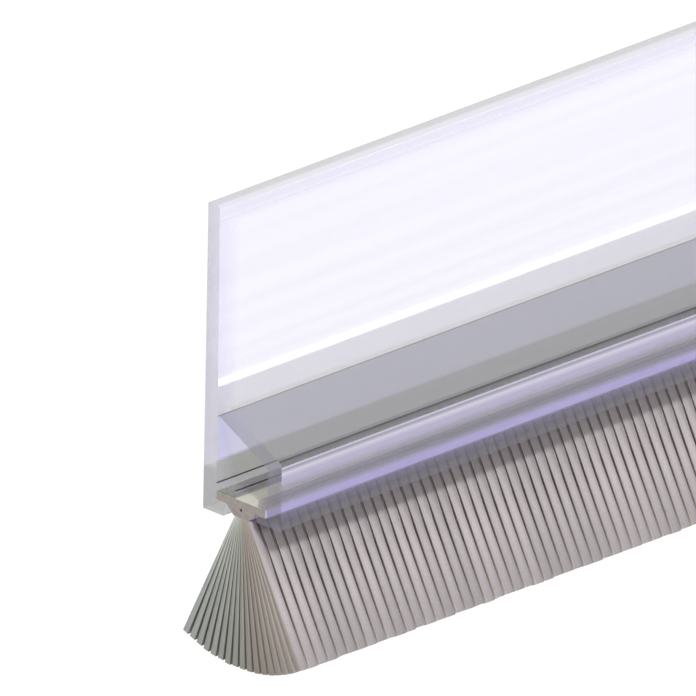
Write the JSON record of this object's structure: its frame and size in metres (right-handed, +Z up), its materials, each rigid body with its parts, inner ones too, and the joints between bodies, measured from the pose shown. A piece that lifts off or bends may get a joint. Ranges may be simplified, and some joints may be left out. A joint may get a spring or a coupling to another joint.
{
  "type": "door bottom brush seal strip",
  "caption": "Clear plastic strip for the foot of a door, with an adhesive back, a slanted channel and a stiff fan-shaped brush that seals the gap above the floor.",
  "frame": {"origin": "centre of the tape's back face, the face that goes against the door", "axes": "+X along the strip, +Y into the door, out of the tape's back face, +Z up"},
  "size_m": [1, 0.0171, 0.0502],
  "materials": {
    "clear_plastic": "clear, smooth, faintly lilac",
    "clear_tape": "clear adhesive tape",
    "backing_plastic": "dull, grey-brown",
    "bristle_filament": "dull filament, warm grey",
    "wire_steel": "dark drawn wire"
  },
  "bodies": {
    "root": {"carrier_profile": "clear_plastic", "adhesive_tape": "clear_tape", "brush_backing": "backing_plastic", "core_wire": "wire_steel", "bristles": "bristle_filament"}
  },
  "joints": []
}
